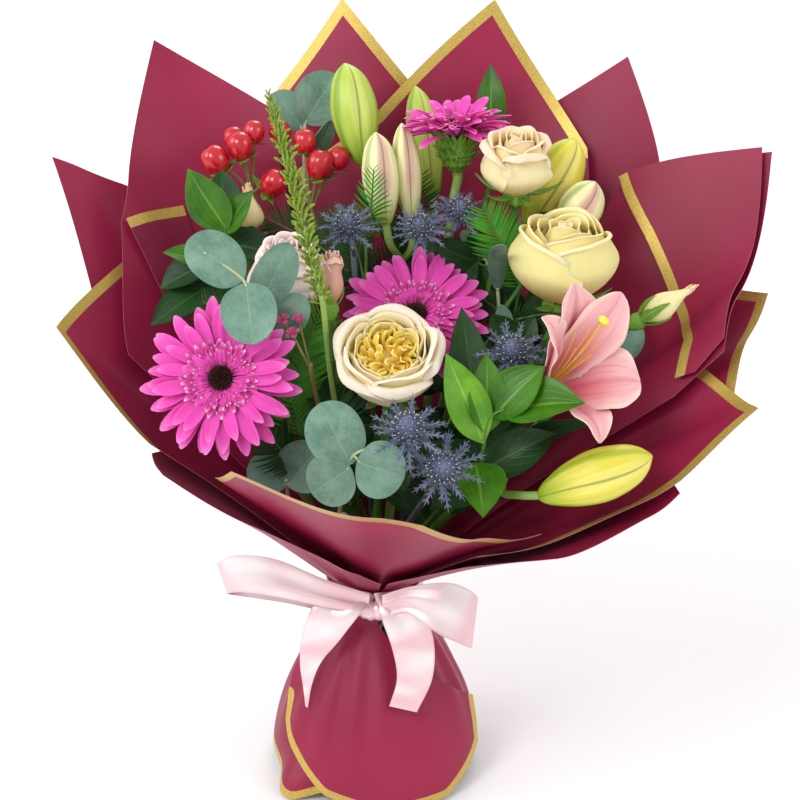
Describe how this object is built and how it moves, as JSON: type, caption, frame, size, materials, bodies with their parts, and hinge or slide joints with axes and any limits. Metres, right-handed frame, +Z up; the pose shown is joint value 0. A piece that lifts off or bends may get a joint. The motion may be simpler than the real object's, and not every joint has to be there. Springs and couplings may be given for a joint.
{
  "type": "mixed flower bouquet",
  "caption": "Hand-tied bouquet of gerberas, roses, lilies, sea holly, berries and foliage in gold-edged film with a satin bow, standing on its cut stems.",
  "frame": {"origin": "on the table, in the middle of the stems' cut ends, on the central stem's flat cut", "axes": "+X to the bouquet's right as its face is looked at, -Y towards the viewer its face is arranged for, +Z up from the table"},
  "size_m": [0.4473, 0.3364, 0.455],
  "materials": {
    "gerbera_pink": "matte",
    "rose_cream": "matte",
    "rose_pale_pink": "matte",
    "rose_dusty": "matte",
    "lily_green": "satin",
    "lily_pink": "matte",
    "berry_red": "gloss",
    "holly_blue": "matte",
    "leaf_grey_green": "matte",
    "leaf_green": "satin",
    "goldenrod_green": "matte",
    "waxflower_pink": "matte",
    "film_burgundy": "satin",
    "satin_pink": "satin",
    "twine_straw": "matte"
  },
  "bodies": {
    "root": {"eucalyptus_far_right": "leaf_grey_green", "eucalyptus_front": "leaf_grey_green", "eucalyptus_left": "leaf_grey_green", "eucalyptus_low": "leaf_grey_green", "eucalyptus_right": "leaf_grey_green", "eucalyptus_top": "leaf_grey_green", "fern_back": "leaf_green", "fern_left": "leaf_green", "fern_top": "leaf_green", "film_back_corner": "film_burgundy", "film_back_left": "film_burgundy", "film_back_low": "film_burgundy", "film_back_right": "film_burgundy", "film_front_collar": "film_burgundy", "film_front_left": "film_burgundy", "film_front_right": "film_burgundy", "film_left": "film_burgundy", "film_left_dark": "film_burgundy", "film_left_tall": "film_burgundy", "film_right_back": "film_burgundy", "film_right_low": "film_burgundy", "film_right_tall": "film_burgundy", "gerbera_left": "gerbera_pink", "gerbera_middle": "gerbera_pink", "gerbera_top": "gerbera_pink", "goldenrod": "goldenrod_green", "hypericum_left": "berry_red", "hypericum_top": "berry_red", "lily_open": "lily_pink", "lily_right": "lily_green", "lily_tall": "lily_green", "ribbon": "satin_pink", "rose_back_bud": "rose_cream", "rose_cream_right": "rose_cream", "rose_cream_top": "rose_cream", "rose_dusty_bud": "rose_dusty", "rose_garden": "rose_cream", "rose_pale_pink": "rose_pale_pink", "rose_small_bud": "rose_cream", "ruscus_left": "leaf_green", "ruscus_right": "leaf_green", "ruscus_top": "leaf_green", "sea_holly_front": "holly_blue", "sea_holly_left": "holly_blue", "sea_holly_right": "holly_blue", "sea_holly_top": "holly_blue", "twine": "twine_straw", "waxflower": "waxflower_pink"}
  },
  "joints": []
}
